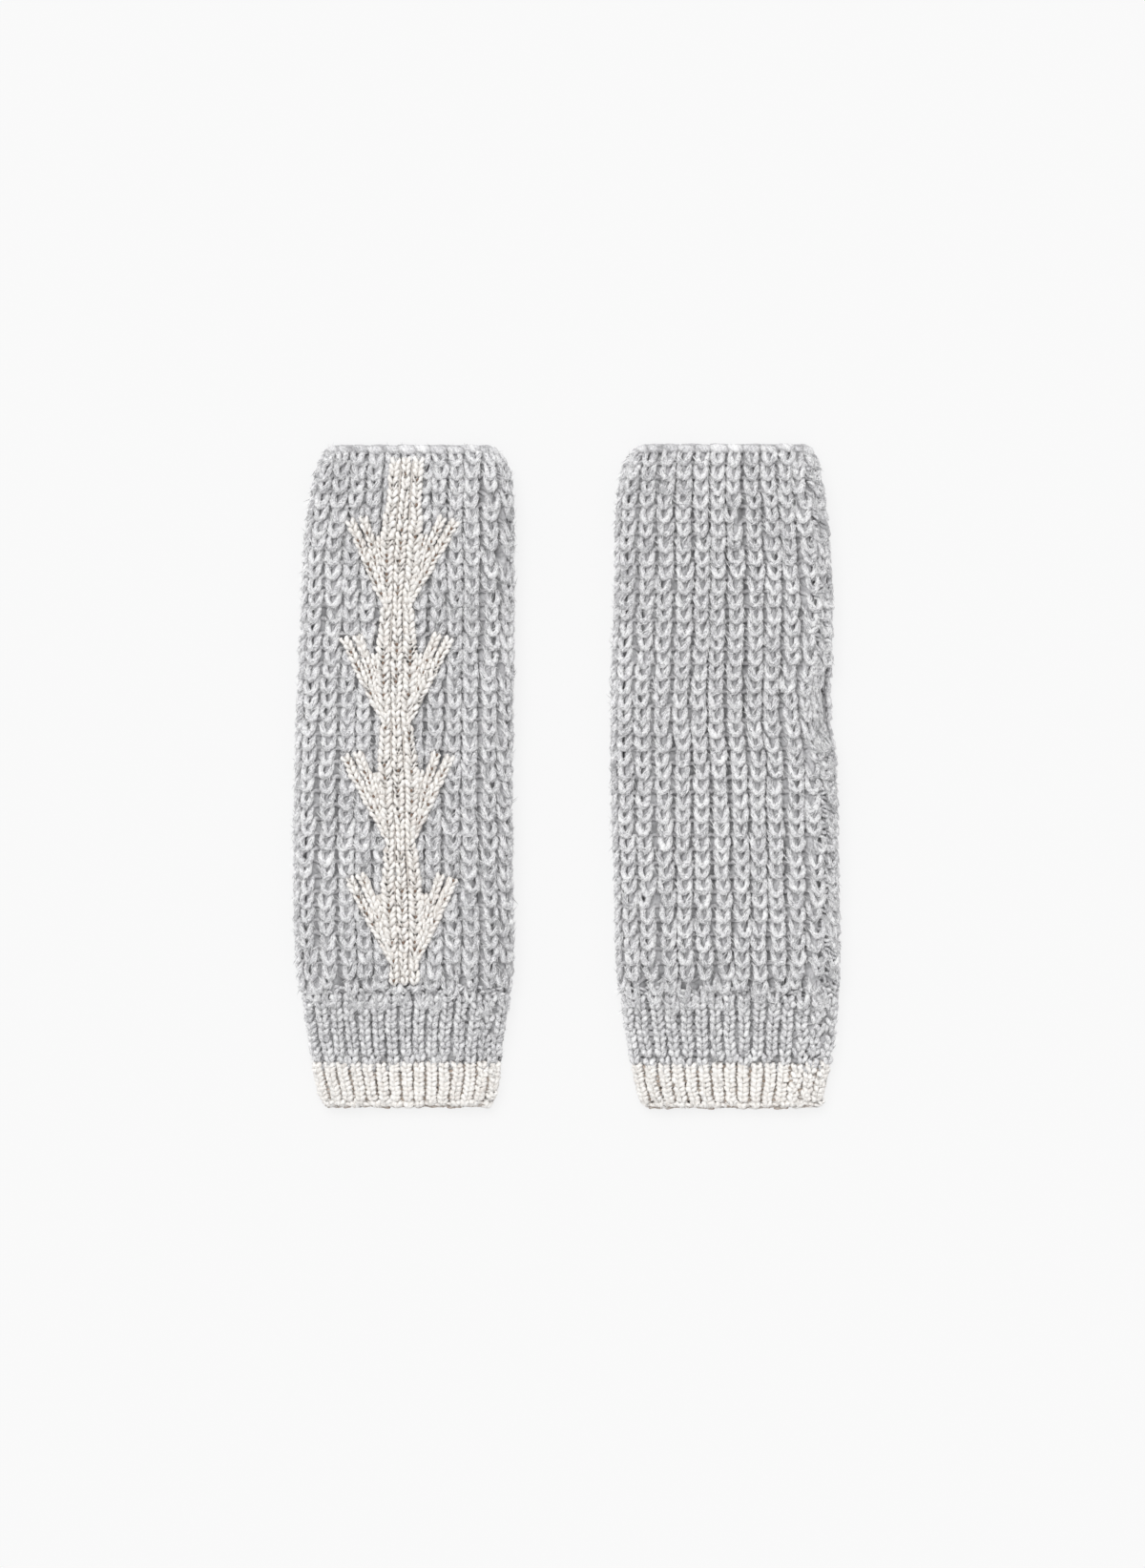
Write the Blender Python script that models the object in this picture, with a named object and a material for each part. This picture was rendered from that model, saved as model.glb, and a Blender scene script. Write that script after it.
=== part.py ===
"""A pair of fingerless mittens in chunky knitted wool, laid flat side by side.

Each mitten is a panel of broad rib folded round into a flat tube and joined along its
thumb side, with a fine ribbed cuff, a cream band below it and a bound-off edge at the
fingers. The left one lies with the back of the hand up and shows a column of cream
cabled arrows. The right one lies palm up. Fingers point to +Y, and the underside lies
on z = 0. Every size below is in millimetres.
"""

from collections import namedtuple
from math import ceil, cos, pi, sin

import bmesh
import bpy
import numpy as np

MM = 0.001

# The cloth
JOIN_GAP = 0.3  # between two pieces that are knitted or sewn together
INNER_GAP = 1.0  # between the two layers of a flat mitten
SIDE_WALL = 4.4  # the cloth at the folded sides
SIDE_ROUND = 9.0  # how far the upper side of a fold reaches in
UNDER_ROUND = 5.0  # how far the lower side of a fold reaches in
SECTION_STEP = 24.0  # the furthest apart that two sections of a plain stretch lie
SECTION_NEAREST = 1.0  # and the nearest together
ARC_STEPS = 10  # points along each quarter turn of a fold

# A rib: points across it, how round its back is, and where on the way round the cloth
# and at which share of its height it gives way to the flat underside
RIB_POINTS = (0.0, 0.14, 0.38, 0.62, 0.86)
RIB_ROUNDNESS = 0.6
UNDERSIDE_FROM = 0.55
UNDERSIDE_TO = 0.95
RIB_FOOT = 0.1
RIB_RISE = 0.3

# The thumb opening in the side join, from the mitten's lower edge
THUMB_LOW = 147.6
THUMB_HIGH = 180.8
THUMB_STATIONS = (0.0, 0.12, 0.35, 0.65, 0.88, 1.0)
THUMB_REACH = 15.0  # how far in from the side the cloth follows the opening's edge

Yarn = namedtuple("Yarn", "name colour roughness")
GREY = Yarn("grey melange wool", (0.49, 0.49, 0.50, 1.0), 0.95)
CREAM = Yarn("cream cabled yarn", (0.74, 0.70, 0.67, 1.0), 0.75)

# Outline of each mitten: the distance along from its lower edge, how far the sides lie
# to the left and right of its centre line, and its thickness lying flat.
Row = namedtuple("Row", "along left right thick")
LEFT_ROWS = (
    Row(0.0, 34.0, 36.6, 4.4),
    Row(3.0, 35.4, 38.2, 5.6),
    Row(8.0, 36.6, 39.6, 6.0),
    Row(17.8, 39.0, 40.7, 6.3),
    Row(31.0, 41.0, 41.7, 7.0),
    Row(45.5, 42.5, 44.2, 8.0),
    Row(58.0, 43.9, 45.0, 9.6),
    Row(85.0, 45.0, 45.0, 10.0),
    Row(124.0, 44.8, 44.5, 10.1),
    Row(160.0, 43.8, 45.0, 9.9),
    Row(195.0, 42.0, 45.3, 10.0),
    Row(230.0, 41.0, 45.3, 10.0),
    Row(249.0, 38.4, 45.0, 9.8),
    Row(258.0, 36.8, 44.2, 9.2),
    Row(265.0, 34.6, 42.3, 7.8),
    Row(267.8, 33.7, 41.0, 6.6),
    Row(270.3, 31.6, 36.5, 5.0),
)
RIGHT_ROWS = (
    Row(0.0, 34.5, 38.8, 4.4),
    Row(3.5, 37.4, 40.0, 5.6),
    Row(8.2, 38.2, 41.1, 6.0),
    Row(17.8, 40.2, 43.0, 6.3),
    Row(31.6, 43.0, 45.0, 7.0),
    Row(45.5, 44.3, 46.6, 8.0),
    Row(60.0, 45.3, 47.0, 9.6),
    Row(86.0, 45.9, 46.6, 10.0),
    Row(125.0, 47.2, 46.0, 10.1),
    Row(148.0, 47.4, 45.6, 9.9),
    Row(183.0, 46.9, 44.1, 10.0),
    Row(218.0, 45.8, 43.9, 10.0),
    Row(234.0, 45.7, 42.7, 10.0),
    Row(250.0, 45.0, 41.0, 9.8),
    Row(258.0, 43.8, 39.5, 9.2),
    Row(266.0, 41.4, 38.0, 7.6),
    Row(268.6, 40.0, 37.0, 6.6),
    Row(271.1, 36.5, 34.5, 5.0),
)

# The lengths of tube in a mitten, from its lower edge up. The last one runs to the end
# of the outline.
Length = namedtuple("Length", "name start end ribs groove yarn")
LENGTHS = (
    Length("band", 0.0, 17.65, 30, 1.1, CREAM),
    Length("cuff", 17.95, 45.35, 30, 1.4, GREY),
    Length("body", 45.65, 266.85, 25, 2.1, GREY),
    Length("top_edge", 267.15, None, 25, 0.9, GREY),
)

# The thumb opening shows on the right mitten: both layers dip in there, and the upper
# one is drawn further back and lifts. The left mitten's lies closed. The ribs are
# shallow in a margin along the join.
Mitten = namedtuple("Mitten", "name centre foot rows dip set_back lift margin arrows")
MITTENS = (
    Mitten("left", -66.7, -135.15, LEFT_ROWS, 0.0, 0.0, 0.3, 3.0, True),
    Mitten("right", 65.1, -135.55, RIGHT_ROWS, 1.7, 3.1, 1.2, 12.0, False),
)
MARGIN_GROOVE = 0.45  # the share of a rib's depth that is left in the margin

# The column of arrows on the back of the left mitten. The cloth lies lower under it.
ARROW_TIPS = (238.3, 190.4, 142.3, 92.6)  # the arms' upper tips, from the lower edge
COLUMN_LOW = 50.4
COLUMN_HIGH = 265.0
CALM_HALF = 24.0
CALM_FADE = 7.0
CALM_DROP = 0.9
CALM_END = 8.0  # how far past the column's ends the cloth rises again
Drift = namedtuple("Drift", "along x")
COLUMN_DRIFT = (
    Drift(50.0, 0.2),
    Drift(112.0, -1.6),
    Drift(163.0, -3.4),
    Drift(210.0, -2.6),
    Drift(265.0, 1.2),
)
Shape = namedtuple("Shape", "under valley crown")
STEM_SHAPE = Shape(0.3, 1.0, 1.75)
ARM_SHAPE = Shape(0.45, 0.95, 1.6)
STEM_CABLES = 3
ARM_CABLES = 2
CABLE_WIDTH = 5.0
CABLE_BACK = (0.28, 0.72)  # where across a cable its flat back starts and ends
STRIP_EDGE = 0.25  # the height of a strip's edges
STEM_TAPER = 2.5  # how far from its ends the stem narrows
STEM_FOOT = (6.6, 7.8)  # half its width at its foot and above the taper
STEM_TOP = (7.4, 6.6)
STEM_END_HEIGHT = 0.6
StemRow = namedtuple("StemRow", "below_tip half")
STEM_ROWS = (
    StemRow(-12.0, 6.9),
    StemRow(-4.0, 7.6),
    StemRow(6.0, 8.6),
    StemRow(18.0, 8.0),
    StemRow(27.0, 7.0),
    StemRow(33.0, 6.0),
)
ArmRow = namedtuple("ArmRow", "below_tip outer inner height")
ARM_ROWS = (
    ArmRow(-1.4, 23.4, 13.8, 0.6),
    ArmRow(0.6, 23.3, 12.6, 1.0),
    ArmRow(6.2, 20.6, 8.6, 1.0),
    ArmRow(8.4, 19.6, 1.6, 1.0),
    ArmRow(18.0, 14.8, 1.5, 1.0),
    ArmRow(25.0, 10.6, 1.5, 0.9),
    ArmRow(31.5, 5.4, 1.5, 0.8),
)


def smooth_step(value):
    """0 below 0, 1 above 1 and a soft slope between."""
    held = min(max(value, 0.0), 1.0)
    return held * held * (3.0 - 2.0 * held)


def along_curve(rows, along, column):
    """A column of a table at any distance along, on a smooth curve through its rows."""
    places = [row[0] for row in rows]
    values = [getattr(row, column) for row in rows]
    slopes = np.gradient(values, places)
    after = min(max(int(np.searchsorted(places, along)), 1), len(places) - 1)
    step = places[after] - places[after - 1]
    share = min(max((along - places[after - 1]) / step, 0.0), 1.0)
    rest = 1.0 - share
    level = values[after - 1] + (values[after] - values[after - 1]) * smooth_step(share)
    return level + step * share * rest * (rest * slopes[after - 1] - share * slopes[after])


def outline_at(mitten, along):
    """The mitten's outline and thickness at a distance along."""
    sizes = [along_curve(mitten.rows, along, column) for column in Row._fields[1:]]
    return Row(along, *sizes)


def column_centre(along):
    """How far the column of arrows lies from the mitten's centre line."""
    return along_curve(COLUMN_DRIFT, along, "x")


def crown_line(row):
    """The outside of the flat tube at a row, where the ribs' backs lie.

    It starts at the join on the right, and runs over the top to the left and back below.
    """
    half = row.thick / 2
    turns = (
        (row.right - SIDE_ROUND, SIDE_ROUND, 0.0),
        (SIDE_ROUND - row.left, SIDE_ROUND, pi / 2),
        (UNDER_ROUND - row.left, UNDER_ROUND, pi),
        (row.right - UNDER_ROUND, UNDER_ROUND, 3 * pi / 2),
    )
    points = []
    for middle, radius, first in turns:
        for step in range(ARC_STEPS + 1):
            angle = first + pi / 2 * step / ARC_STEPS
            points.append((middle + radius * cos(angle), half + half * sin(angle)))
    return np.array(points)


def place_on(line, share):
    """The point at a share of a line's length, and the way straight out from it."""
    steps = np.hypot(*np.diff(line, axis=0).T)
    run = np.concatenate(([0.0], np.cumsum(steps)))
    at = share * run[-1]
    x, z = np.interp(at, run, line[:, 0]), np.interp(at, run, line[:, 1])
    reach = 0.4
    ahead = [np.interp(at + reach, run, line[:, k]) for k in (0, 1)]
    behind = [np.interp(at - reach, run, line[:, k]) for k in (0, 1)]
    across = np.array(ahead) - np.array(behind)
    across /= np.hypot(*across)
    return x, z, (across[1], -across[0])


def thumb_open(along):
    """How far open the thumb opening is, from 0 at its ends to 1."""
    share = (along - THUMB_LOW) / (THUMB_HIGH - THUMB_LOW)
    if not 0.0 < share < 1.0:
        return 0.0
    return sin(pi * share) ** 0.5


def part_lips(mitten, row, x, z):
    """Draws the layers in, and the upper one back and up, where the join is open."""
    near = smooth_step((x - row.right + THUMB_REACH) / (THUMB_REACH - SIDE_WALL))
    opened = thumb_open(row.along) * near
    if z <= row.thick / 2:
        return x - mitten.dip * opened, z
    return x - (mitten.dip + mitten.set_back) * opened, z + mitten.lift * opened


def calm(mitten, along, x):
    """1 under the column of arrows, where the cloth lies lower, and 0 away from it."""
    if not mitten.arrows:
        return 0.0
    beside = (abs(x - column_centre(along)) - CALM_HALF) / CALM_FADE
    below = (COLUMN_LOW - along) / CALM_END
    above = (along - COLUMN_HIGH) / CALM_END
    return 1.0 - smooth_step(max(beside, below, above))


def outer_point(mitten, length, row, line, share):
    """A point of the outside, on a rib's back or down towards a groove."""
    x, z, out = place_on(line, share)
    back = abs(sin(pi * share * length.ribs)) ** RIB_ROUNDNESS
    groove = length.groove * smooth_step((z / row.thick - RIB_FOOT) / RIB_RISE)
    drop = 0.0
    if z > row.thick / 2:
        drop = CALM_DROP * calm(mitten, row.along, x)
    if x > row.right - mitten.margin:
        groove *= MARGIN_GROOVE
    depth = drop + (groove - drop) * (1.0 - back) if groove > drop else drop
    return part_lips(mitten, row, x - depth * out[0], z - depth * out[1])


def inner_point(mitten, row, line, share):
    """A point of the plain inside, level with the outer one."""
    x, z, _ = place_on(line, share)
    middle = (row.right - row.left) / 2
    half_width = (row.right + row.left) / 2
    x = middle + (x - middle) * (half_width - SIDE_WALL) / half_width
    half = row.thick / 2
    rise = min(max(2.0 * (z - half) / half, -1.0), 1.0)
    return part_lips(mitten, row, x, half + rise * INNER_GAP / 2)


def section(mitten, length, along):
    """One section of a length: for each rib its outer points, and the inner points."""
    row = outline_at(mitten, along)
    line = crown_line(row)
    around = np.hypot(*np.diff(line, axis=0).T).sum()
    edge = JOIN_GAP / 2 / around
    outer, inner = [], []
    for rib in range(length.ribs):
        shows = not UNDERSIDE_FROM < (rib + 0.5) / length.ribs < UNDERSIDE_TO
        shares = [(rib + u) / length.ribs for u in (RIB_POINTS if shows else (0.0,))]
        shares[0] = max(shares[0], edge)
        outer.append([outer_point(mitten, length, row, line, s) for s in shares])
        inner.append(inner_point(mitten, row, line, shares[0]))
    outer.append([outer_point(mitten, length, row, line, 1.0 - edge)])
    inner.append(inner_point(mitten, row, line, 1.0 - edge))
    return outer, inner


def stations(mitten, length):
    """The distances along at which a length of tube has its sections."""
    end = length.end or mitten.rows[-1].along
    marks = {length.start, end}
    marks |= {row.along for row in mitten.rows if length.start < row.along < end}
    thumb = {THUMB_LOW + (THUMB_HIGH - THUMB_LOW) * s for s in THUMB_STATIONS}
    marks |= {mark for mark in thumb if length.start < mark < end}
    marks = sorted(marks)
    kept = [marks[0]]
    for mark in marks[1:]:
        if mark - kept[-1] < SECTION_NEAREST and mark != marks[-1]:
            continue
        count = ceil((mark - kept[-1]) / SECTION_STEP)
        start = kept[-1]
        kept += [start + (mark - start) * (i + 1) / count for i in range(count)]
    return kept


def yarn_material(name, yarn):
    """A plain wool material in the yarn's colour."""
    material = bpy.data.materials.new(name)
    material.use_nodes = True
    shader = material.node_tree.nodes["Principled BSDF"]
    shader.inputs["Base Color"].default_value = yarn.colour
    shader.inputs["Roughness"].default_value = yarn.roughness
    shader.inputs["Metallic"].default_value = 0.0
    return material


def add_object(name, mesh_maker, yarn, collection):
    """A named object from a bmesh, with its faces turned out and its material."""
    bmesh.ops.recalc_face_normals(mesh_maker, faces=mesh_maker.faces)
    mesh = bpy.data.meshes.new(name)
    mesh_maker.to_mesh(mesh)
    mesh_maker.free()
    mesh.materials.append(yarn_material(name, yarn))
    made = bpy.data.objects.new(name, mesh)
    collection.objects.link(made)
    return made


def add_tube(mitten, length, collection):
    """One length of a mitten: a ribbed wall folded round to the join at its side."""
    maker = bmesh.new()
    loops, caps = [], []
    for along in stations(mitten, length):
        outer, inner = section(mitten, length, along)
        y = mitten.foot + along

        def vertex(point, y=y):
            return maker.verts.new(
                ((mitten.centre + point[0]) * MM, y * MM, point[1] * MM)
            )

        outside = [[vertex(point) for point in rib] for rib in outer]
        inside = [vertex(point) for point in inner]
        loops.append([v for rib in outside for v in rib] + inside[::-1])
        caps.append((outside, inside))
    for below, above in zip(loops, loops[1:]):
        for i in range(len(below)):
            j = (i + 1) % len(below)
            maker.faces.new((below[i], below[j], above[j], above[i]))
    for outside, inside in (caps[0], caps[-1]):
        for rib in range(len(inside) - 1):
            edge = outside[rib] + outside[rib + 1][:1]
            maker.faces.new(edge + [inside[rib + 1], inside[rib]])
    return add_object(f"{mitten.name}_{length.name}", maker, length.yarn, collection)


def cable_profile(outer, inner, cables, shape, height, width):
    """Points across a strip of cables, from its outer edge to its inner one."""
    cable = (inner - outer) / cables
    if width:
        cable = np.sign(cable) * min(abs(cable), width)
    crown = shape.under + (shape.crown - shape.under) * height
    valley = shape.under + (shape.valley - shape.under) * height
    edge = shape.under + STRIP_EDGE
    points = [(outer, shape.under), (outer, edge)]
    for number in range(cables):
        start = outer + cable * number
        points += [(start + cable * share, crown) for share in CABLE_BACK]
        points.append((start + cable, valley))
    return points + [(inner, edge), (inner, shape.under)]


def add_strip(maker, mitten, rows, cables, shape, width=None):
    """A closed strip of cables on the mitten's upper side, one section for each row."""
    sections = []
    for along, outer, inner, height in rows:
        base = outline_at(mitten, along).thick - CALM_DROP
        centre = mitten.centre + column_centre(along)
        y = mitten.foot + along
        profile = cable_profile(outer, inner, cables, shape, height, width)
        sections.append(
            [
                maker.verts.new(((centre + x) * MM, y * MM, (base + z) * MM))
                for x, z in profile
            ]
        )
    for below, above in zip(sections, sections[1:]):
        for i in range(len(below)):
            j = (i + 1) % len(below)
            maker.faces.new((below[i], below[j], above[j], above[i]))
    maker.faces.new(sections[0])
    maker.faces.new(sections[-1])


def stem_rows():
    """The stem's rows from its foot up: it is wider at each arrow and narrow below it."""
    places = [COLUMN_LOW, COLUMN_LOW + STEM_TAPER]
    halves = [*STEM_FOOT]
    for tip in reversed(ARROW_TIPS):
        for row in reversed(STEM_ROWS):
            place = tip - row.below_tip
            if places[-1] + SECTION_NEAREST < place < COLUMN_HIGH - 2 * STEM_TAPER:
                places.append(place)
                halves.append(row.half)
    places += [COLUMN_HIGH - STEM_TAPER, COLUMN_HIGH]
    halves += [*STEM_TOP]
    heights = [STEM_END_HEIGHT] + [1.0] * (len(places) - 2) + [STEM_END_HEIGHT]
    return [(y, -half, half, h) for y, half, h in zip(places, halves, heights)]


def add_arrows(mitten, collection, cutters):
    """The column of arrows: a stem of three cables with four pairs of arms."""
    maker = bmesh.new()
    for tip in ARROW_TIPS:
        for side in (-1, 1):
            rows = [
                (tip - row.below_tip, side * row.outer, side * row.inner, row.height)
                for row in reversed(ARM_ROWS)
            ]
            add_strip(maker, mitten, rows, ARM_CABLES, ARM_SHAPE, CABLE_WIDTH)
    arms = add_object(f"{mitten.name}_arrow_arms", maker, CREAM, cutters)
    arms.hide_render = True
    arms.display_type = "WIRE"

    maker = bmesh.new()
    add_strip(maker, mitten, stem_rows(), STEM_CABLES, STEM_SHAPE)
    column = add_object(f"{mitten.name}_arrow", maker, CREAM, collection)
    join = column.modifiers.new("arms knitted to the stem", "BOOLEAN")
    join.operation = "UNION"
    join.solver = "EXACT"
    join.object = arms


def clear_scene():
    """Removes whatever the scene starts with."""
    for old in list(bpy.data.objects):
        bpy.data.objects.remove(old, do_unlink=True)


def add_collection(name):
    """A new collection in the scene."""
    made = bpy.data.collections.new(name)
    bpy.context.scene.collection.children.link(made)
    return made


clear_scene()
pair = add_collection("fingerless_mittens")
guides = add_collection("cutters")
for one in MITTENS:
    for stretch in LENGTHS:
        add_tube(one, stretch, pair)
    if one.arrows:
        add_arrows(one, pair, guides)
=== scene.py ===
import math

import bpy
import numpy as np
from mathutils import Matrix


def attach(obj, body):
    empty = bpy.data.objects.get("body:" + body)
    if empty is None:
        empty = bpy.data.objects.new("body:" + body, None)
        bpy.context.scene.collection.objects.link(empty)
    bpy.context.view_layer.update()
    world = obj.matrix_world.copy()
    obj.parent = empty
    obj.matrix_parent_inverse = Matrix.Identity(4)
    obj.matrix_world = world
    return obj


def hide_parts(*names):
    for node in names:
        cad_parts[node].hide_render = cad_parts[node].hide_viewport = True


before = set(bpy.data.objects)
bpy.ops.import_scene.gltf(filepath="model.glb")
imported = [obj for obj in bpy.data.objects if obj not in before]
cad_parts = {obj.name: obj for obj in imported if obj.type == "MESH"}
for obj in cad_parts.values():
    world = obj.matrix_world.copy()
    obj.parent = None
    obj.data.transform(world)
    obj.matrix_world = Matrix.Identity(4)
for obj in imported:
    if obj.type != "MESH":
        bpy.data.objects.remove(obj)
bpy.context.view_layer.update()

# How the mittens lie
# Each mitten is a tube of cloth pressed flat on the table. Its outline and thickness are
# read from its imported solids, so everything that is knitted below lies on that form.

MM = 0.001
SIDES = ("left", "right")
TUBE_PARTS = ("band", "cuff", "body", "top_edge")
SAME_PLACE = 0.02 * MM  # how near each other the points of one section lie along the tube
LIE_STEP = 1.0 * MM  # between the sections that are kept of a tube
LIE_SHARES = 480  # the points kept round each section
LIE_SOFTNESS = 3.0 * MM
ARC_POINTS = 13  # in each quarter turn of a section
THICKEST = 10.1 * MM
SIDE_ROUND = 9.0 * MM
UNDER_ROUND = 5.0 * MM
SIDE_WALL = 4.4 * MM
END_REACH = 20.0 * MM  # how far from the finger end the ribs run straight up
EVEN_SHARE, EVEN_FADE = 0.16, 0.09  # how far off a layer's middle they stay upright
CORNER_REACH = 12.0 * MM
CORNER_DROP = 1.3 * MM
CORNER_SHARE = 0.035  # of the way round
LAYER_GAP = 1.0 * MM
THUMB_LOW = 147.6 * MM
THUMB_HIGH = 180.8 * MM
THUMB_REACH = 15.0 * MM
THUMB_DRAWN_BACK = {"left": 0.0, "right": 3.1 * MM}
THUMB_LIFT = {"left": 0.3 * MM, "right": 1.2 * MM}


def soft_step(value):
    """0 below 0, 1 above 1 and a soft slope between."""
    held = np.clip(value, 0.0, 1.0)
    return held * held * (3.0 - 2.0 * held)


def softened(values, reach):
    """Values at even steps, averaged over a bell-shaped reach of steps."""
    span = int(3 * reach) + 1
    bell = np.exp(-0.5 * (np.arange(-span, span + 1) / reach) ** 2)
    ends = np.pad(values, span, mode="reflect", reflect_type="odd")
    return np.convolve(ends, bell / bell.sum(), mode="valid")


def round_the_tube(left, right, thick, full=0.0):
    """The outside of one section, from the join on the right over the top and back. Where
    the tube is narrower than its full girth, the sides take it in and the middle keeps its
    spacing, so the ribs stay upright."""
    half = thick / 2
    turns = (
        (right - SIDE_ROUND, SIDE_ROUND, 0.0),
        (left + SIDE_ROUND, SIDE_ROUND, math.pi / 2),
        (left + UNDER_ROUND, UNDER_ROUND, math.pi),
        (right - UNDER_ROUND, UNDER_ROUND, math.pi * 3 / 2),
    )
    angles = np.linspace(0.0, math.pi / 2, ARC_POINTS)
    x = np.concatenate([middle + r * np.cos(first + angles) for middle, r, first in turns])
    z = np.concatenate([half + half * np.sin(first + angles) for _, _, first in turns])
    run = np.concatenate(([0.0], np.cumsum(np.hypot(np.diff(x), np.diff(z)))))
    shares = np.linspace(0.0, 1.0, LIE_SHARES + 1)
    off = shares % 0.5 - 0.25
    kept = off * (1 - soft_step((abs(off) - EVEN_SHARE) / EVEN_FADE))
    even = run[-1] * shares + max(full - run[-1], 0.0) * kept
    return np.interp(even, run, x), np.interp(even, run, z), run[-1]


def lie_of(side):
    """The outer and inner faces of a mitten's cloth, section by section."""
    nodes = [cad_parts[f"{side}_{part}"] for part in TUBE_PARTS]
    points = np.array([v.co[:] for solid in nodes for v in solid.data.vertices])
    places = np.unique(np.round(points[:, 1], 5))
    rows = [points[abs(points[:, 1] - place) < SAME_PLACE] for place in places]
    low, high = places[0], places[-1]
    along = np.arange(low, high + LIE_STEP / 2, LIE_STEP)
    reach = LIE_SOFTNESS / LIE_STEP
    left = softened(np.interp(along, places, [r[:, 0].min() for r in rows]), reach)
    right = softened(np.interp(along, places, [r[:, 0].max() for r in rows]), reach)
    tall = np.interp(along, places, [min(r[:, 2].max(), THICKEST) for r in rows])
    thick = softened(tall, reach)
    outer = np.zeros((len(along), LIE_SHARES + 1, 2))
    inner = np.zeros_like(outer)
    around = np.zeros(len(along))
    narrowed = len(along) - int(END_REACH / LIE_STEP)
    for i in range(len(along)):
        full = around[narrowed] if i > narrowed else 0.0
        x, z, around[i] = round_the_tube(left[i], right[i], thick[i], full)
        middle, half_width = (left[i] + right[i]) / 2, (right[i] - left[i]) / 2
        half = thick[i] / 2
        outer[i] = np.stack([x, z], 1)
        inner[i, :, 0] = middle + (x - middle) * (half_width - SIDE_WALL) / half_width
        inner[i, :, 1] = half + np.clip(2 * (z - half) / half, -1, 1) * LAYER_GAP / 2
    # the upper layer is drawn back and up at the thumb opening
    opened = np.sin(math.pi * np.clip((along - low - THUMB_LOW) / (THUMB_HIGH - THUMB_LOW), 0, 1))
    opened = np.maximum(opened, 0.0) ** 0.5
    for face in (outer, inner):
        near = soft_step((face[:, :, 0] - right[:, None] + THUMB_REACH) / (THUMB_REACH - SIDE_WALL))
        lip = opened[:, None] * near * (face[:, :, 1] > thick[:, None] / 2)
        face[:, :, 0] -= THUMB_DRAWN_BACK[side] * lip
        face[:, :, 1] += THUMB_LIFT[side] * lip
    return {"low": low, "length": high - low, "outer": outer, "inner": inner, "around": around}


lies = {side: lie_of(side) for side in SIDES}


def on_cloth(side, along, share, height):
    """Points at a distance along a mitten, a share of the way round from its join, and a
    height off its face, which is negative inside the cloth."""
    lie = lies[side]
    row = np.clip(along / LIE_STEP, 0, len(lie["outer"]) - 1.001)
    column = np.clip(share * LIE_SHARES, 0, LIE_SHARES - 0.001)
    i, j = row.astype(int), column.astype(int)
    s, t = (row - i)[..., None], (column - j)[..., None]
    faces = []
    for face in (lie["outer"], lie["inner"]):
        near = face[i, j] * (1 - t) + face[i, j + 1] * t
        far = face[i + 1, j] * (1 - t) + face[i + 1, j + 1] * t
        faces.append(near * (1 - s) + far * s)
    out = faces[0] - faces[1]
    out /= np.maximum(np.hypot(out[..., 0], out[..., 1]), 1e-9)[..., None]
    flat = faces[0] + out * np.asarray(height)[..., None]
    # the corners of the finger end are rounded
    from_side = np.minimum(share % 0.5, -share % 0.5)
    near_end = soft_step((along - lie["length"] + CORNER_REACH) / CORNER_REACH)
    drop = CORNER_DROP * near_end * (1 - soft_step(from_side / CORNER_SHARE))
    return np.stack([flat[..., 0], lie["low"] + along - drop, flat[..., 1]], -1)


# Where the cream arrows run
# The back of the left mitten carries a stem of three narrow columns with four arrowheads
# at about even steps. The grey cloth lies a little lower round them, and passes under them.

ARROW_TIPS = (238.3, 190.4, 142.3, 92.6)  # along, in mm from the lower edge
HEAD_MIDDLE = 12  # mm below its tip
STEM_SPAN = (50.4, 265.0)  # along, in mm
STEM_DRIFT = ((50, 0.2), (112, -1.6), (163, -3.4), (210, -2.6), (265, 1.2))  # along, aside
STEM_HALF = ((-12, 6.9), (-4, 7.6), (6, 8.6), (18, 8.0), (27, 7.0), (33, 6.0))  # below a tip
STEM_COLUMNS = ((-1, 0.66, 0.73), (0, 0.53, 0.61), (1, 0.66, 0.73))  # hand, width apart, joined
COLUMN_OFF, COLUMN_CLOSER = 0.70, 0.04  # in halves of the stem
JOINED_FROM, JOINED_TO = -1, 34  # mm below a tip
JOINED_FADES = (5, 6)
STEM_STEP = 1.5  # mm between the points of a column
HEAD_CORD_POINTS = 14
CALM_HALF, CALM_FADE, CALM_END = 24.0, 7.0, 8.0  # mm off the stem and its ends
CALM_DROP = 0.9 * MM
COVER_HALF, COVER_FADE = 0.38, 1.2  # how far a cord covers, in its widths, then fading in mm
COVER_END = 2.5  # mm of the stem's top that cover nothing
LEFT_MIDDLE = -66.7  # of the left mitten across the table, in mm

# Cords of one arrowhead, on its right half: rows of a distance below the tips, a distance
# off the middle and a width, all in millimetres.
ARROW_CORDS = (
    ((-1.2, 21.8, 3.9), (6.2, 18.2, 4.0), (18.0, 12.3, 4.2), (25.0, 8.7, 3.8), (32.5, 4.9, 3.2)),
    ((-2.4, 16.6, 3.6), (2.5, 14.6, 3.6), (8.6, 12.2, 3.6), (19.0, 9.2, 3.0), (26.0, 6.6, 2.2)),
    ((5.4, 9.0, 3.0), (10.0, 8.6, 2.9), (17.0, 6.9, 2.4)),
)


def stem_middle(along):
    """The middle of the stem, in mm, at a distance along in mm."""
    return LEFT_MIDDLE + np.interp(along, *zip(*STEM_DRIFT))


def below_tip(along):
    """How far a place lies below the tip of its nearest arrowhead, in mm."""
    return min((tip - along for tip in ARROW_TIPS), key=lambda gap: abs(gap - HEAD_MIDDLE))


def stem_half(along):
    """Half the stem's width, in mm, which swells at each arrowhead."""
    return np.interp(below_tip(along), *zip(*STEM_HALF))


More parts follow.
